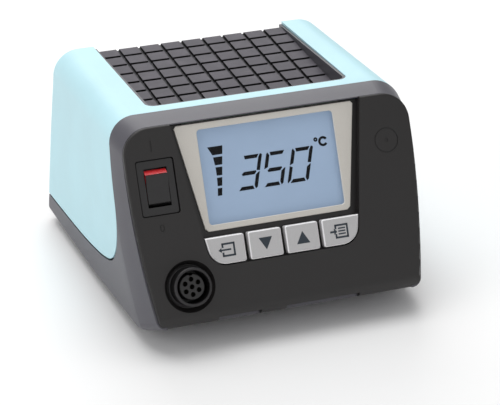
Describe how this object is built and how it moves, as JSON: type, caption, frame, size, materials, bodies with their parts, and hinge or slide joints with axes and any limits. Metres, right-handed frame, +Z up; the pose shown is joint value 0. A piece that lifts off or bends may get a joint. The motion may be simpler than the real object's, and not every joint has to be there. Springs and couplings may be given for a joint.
{
  "type": "soldering iron station",
  "caption": "Bench soldering station power unit with a leaning front, a display, press keys, a rocker switch, a round tool socket and a tiled tray on top.",
  "frame": {"origin": "on the bench, under the middle of the bounding box", "axes": "+Z up, +Y to the rear, +X to the right as seen from the front"},
  "size_m": [0.1452, 0.1536, 0.0941],
  "materials": {
    "housing_plastic": "fine spark texture, dark grey",
    "cover_plastic": "fine spark texture, pale turquoise",
    "tray_plastic": "satin dark grey",
    "mat_rubber": "matte dark grey rubber",
    "panel_plastic": "satin near-black",
    "bezel_metal": "satin warm silver",
    "window_clear": "clear",
    "lcd": "pale blue display",
    "key_silver": "satin silver paint",
    "black_plastic": "satin black",
    "rocker_red": "glossy red",
    "steel": "bright steel",
    "nickel": "nickel plated",
    "copper": "enamelled copper wire",
    "tin_brass": "tinned brass",
    "circuit_board": "green solder mask",
    "white_plastic": "translucent white",
    "black_aluminium": "black anodised",
    "foot_rubber": "black rubber",
    "label": "silver film",
    "cable_grey": "grey ribbon",
    "fuse_glass": "glass and nickel caps"
  },
  "bodies": {
    "station": {"lower_housing": "housing_plastic", "top_cover": "cover_plastic", "tray_insert": "tray_plastic", "tile_mat": "mat_rubber", "front_panel": "panel_plastic", "display_bezel": "bezel_metal", "display_window": "window_clear", "lcd_glass": "lcd", "switch_frame": "black_plastic", "socket_shell": "nickel", "socket_insert": "black_plastic", "socket_contacts": "tin_brass", "socket_nut": "nickel", "socket_board": "circuit_board", "lcd_backlight": "white_plastic", "lcd_holder": "white_plastic", "display_board": "circuit_board", "key_switches": "black_plastic", "display_board_screws": "steel", "beeper": "black_plastic", "panel_screws": "steel", "switch_terminals": "tin_brass", "transformer_core": "steel", "transformer_winding": "copper", "transformer_bracket": "steel", "transformer_screws": "steel", "main_board": "circuit_board", "main_board_screws": "steel", "heat_sink": "black_aluminium", "power_triac": "black_plastic", "capacitors": "black_plastic", "board_connectors": "white_plastic", "board_relay": "black_plastic", "ribbon_cable": "cable_grey", "rear_panel": "housing_plastic", "rear_panel_screws": "steel", "mains_inlet": "black_plastic", "inlet_pins": "tin_brass", "bonding_jack": "nickel", "bonding_nut": "nickel", "cover_screws": "steel", "rubber_feet": "foot_rubber", "rating_plate": "label"},
    "key_exit": {"key_exit": "key_silver"},
    "key_down": {"key_down": "key_silver"},
    "key_up": {"key_up": "key_silver"},
    "key_menu": {"key_menu": "key_silver"},
    "mains_rocker": {"switch_rocker": "rocker_red", "rocker_cap": "black_plastic"},
    "fuse_drawer": {"fuse_drawer": "black_plastic", "fuse_links": "fuse_glass"}
  },
  "joints": [
    {"name": "key_exit_press", "type": "slide", "parent": "station", "child": "key_exit", "axis": [0, 0.9048, -0.4258], "range_m": [0, 0.0007], "stiffness_N_per_m": 300, "springref_m": -0.0005},
    {"name": "key_down_press", "type": "slide", "parent": "station", "child": "key_down", "axis": [0, 0.9048, -0.4258], "range_m": [0, 0.0007], "stiffness_N_per_m": 300, "springref_m": -0.0005},
    {"name": "key_up_press", "type": "slide", "parent": "station", "child": "key_up", "axis": [0, 0.9048, -0.4258], "range_m": [0, 0.0007], "stiffness_N_per_m": 300, "springref_m": -0.0005},
    {"name": "key_menu_press", "type": "slide", "parent": "station", "child": "key_menu", "axis": [0, 0.9048, -0.4258], "range_m": [0, 0.0007], "stiffness_N_per_m": 300, "springref_m": -0.0005},
    {"name": "mains_rocker_tilt", "type": "hinge", "parent": "station", "child": "mains_rocker", "pos_m": [-0.05305, -0.04554, 0.06911], "axis": [1, 0, 0], "range_deg": [-14, 0]},
    {"name": "fuse_drawer_slide", "type": "slide", "parent": "station", "child": "fuse_drawer", "axis": [0, 1, 0], "range_m": [0, 0.016]}
  ]
}
